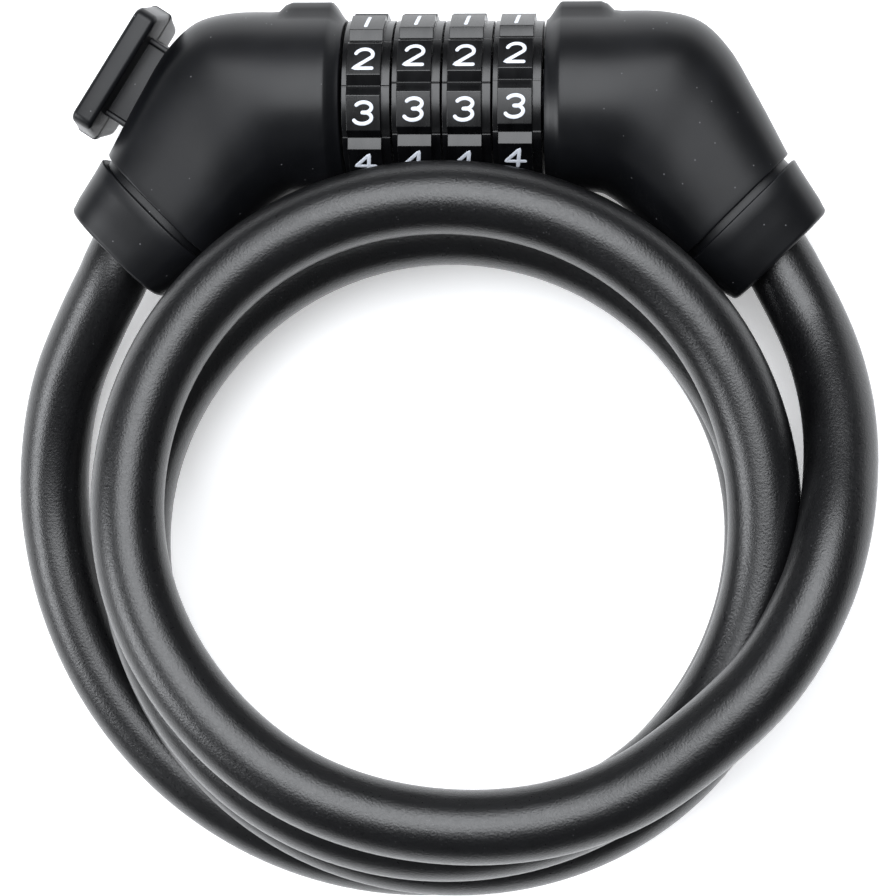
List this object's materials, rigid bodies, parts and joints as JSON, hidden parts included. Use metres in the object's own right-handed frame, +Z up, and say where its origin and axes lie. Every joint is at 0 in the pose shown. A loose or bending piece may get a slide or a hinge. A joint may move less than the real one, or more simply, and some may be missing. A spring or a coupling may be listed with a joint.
{
  "type": "coil cable lock",
  "caption": "Coiled plastic-covered steel cable whose ends meet in two mirrored elbow housings joined by a barrel of number dials, with a T-shaped bracket tab.",
  "frame": {"origin": "on the table under the middle of the lock's head (the two elbow housings and the dials, without the cable)", "axes": "+X along the dial axis from the lock body to the plug, +Y away from the coil, +Z up as the lock lies on its back"},
  "size_m": [0.1466, 0.1541, 0.0491],
  "materials": {
    "black_abs": "fine matte moulded ABS",
    "black_pvc": "satin PVC cable jacket with a fine grain",
    "dial_black": "semi-gloss black with white painted numbers",
    "steel": "plain turned steel",
    "spring_steel": "blued spring steel",
    "zinc": "die-cast zinc"
  },
  "bodies": {
    "lock_body": {"left_housing_front": "black_abs", "left_housing_rear": "black_abs", "bracket_tab": "black_abs", "lock_barrel": "steel", "barrel_end_ring": "steel", "barrel_cap": "steel", "detent_spring": "spring_steel", "eject_spring": "spring_steel", "eject_plunger": "steel", "left_ferrule": "zinc", "left_anchor_pin": "steel", "left_dowel_upper": "steel", "left_dowel_lower": "steel", "lock_cable": "black_pvc"},
    "dial_1": {"dial_1": "dial_black", "clutch_ring_1": "zinc"},
    "dial_2": {"dial_2": "dial_black", "clutch_ring_2": "zinc"},
    "dial_3": {"dial_3": "dial_black", "clutch_ring_3": "zinc"},
    "dial_4": {"dial_4": "dial_black", "clutch_ring_4": "zinc"},
    "plug": {"right_housing_front": "black_abs", "right_housing_rear": "black_abs", "lock_bolt": "steel", "bolt_cross_pin": "steel", "right_ferrule": "zinc", "right_anchor_pin": "steel", "right_dowel_upper": "steel", "right_dowel_lower": "steel"}
  },
  "joints": [
    {"name": "dial_1_turn", "type": "hinge", "parent": "lock_body", "child": "dial_1", "pos_m": [-0.01238, 0.00808, 0.01515], "axis": [1, 0, 0], "continuous": true},
    {"name": "dial_2_turn", "type": "hinge", "parent": "lock_body", "child": "dial_2", "pos_m": [-0.00413, 0.00808, 0.01515], "axis": [1, 0, 0], "continuous": true},
    {"name": "dial_3_turn", "type": "hinge", "parent": "lock_body", "child": "dial_3", "pos_m": [0.00413, 0.00808, 0.01515], "axis": [1, 0, 0], "continuous": true},
    {"name": "dial_4_turn", "type": "hinge", "parent": "lock_body", "child": "dial_4", "pos_m": [0.01238, 0.00808, 0.01515], "axis": [1, 0, 0], "continuous": true},
    {"name": "plug_slide", "type": "slide", "parent": "lock_body", "child": "plug", "axis": [1, 0, 0], "range_m": [0, 0.04], "deforming": ["lock_cable"]}
  ]
}
